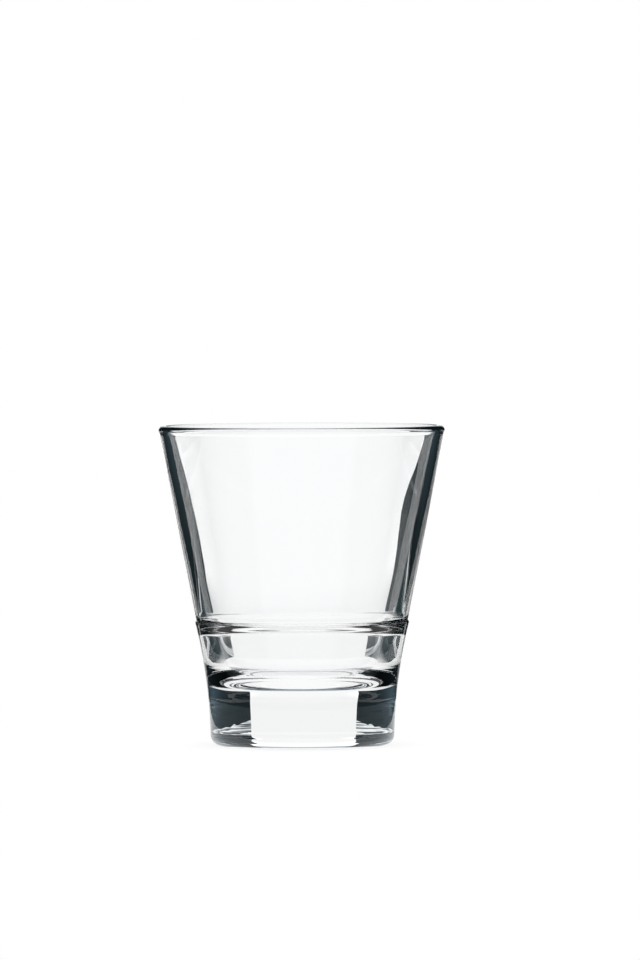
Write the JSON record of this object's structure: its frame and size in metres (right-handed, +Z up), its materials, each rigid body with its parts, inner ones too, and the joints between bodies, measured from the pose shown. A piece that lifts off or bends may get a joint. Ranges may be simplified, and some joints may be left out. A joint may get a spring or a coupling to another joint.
{
  "type": "whisky glass",
  "caption": "Clear pressed-glass whisky tumbler: tapered wall with a beaded lip, a shoulder and inner ledge for stacking, a round-bottomed bowl and a thick solid base.",
  "frame": {"origin": "on the table plane, under the middle of the foot", "axes": "+Z up along the glass's axis of revolution; -Y faces the viewer of the picture and +X is to the right, though the glass is round"},
  "size_m": [0.098, 0.098, 0.1092],
  "materials": {
    "clear_glass": "clear, colourless, fire-polished pressed glass with slight waviness inside"
  },
  "bodies": {
    "root": {"tumbler": "clear_glass"}
  },
  "joints": []
}
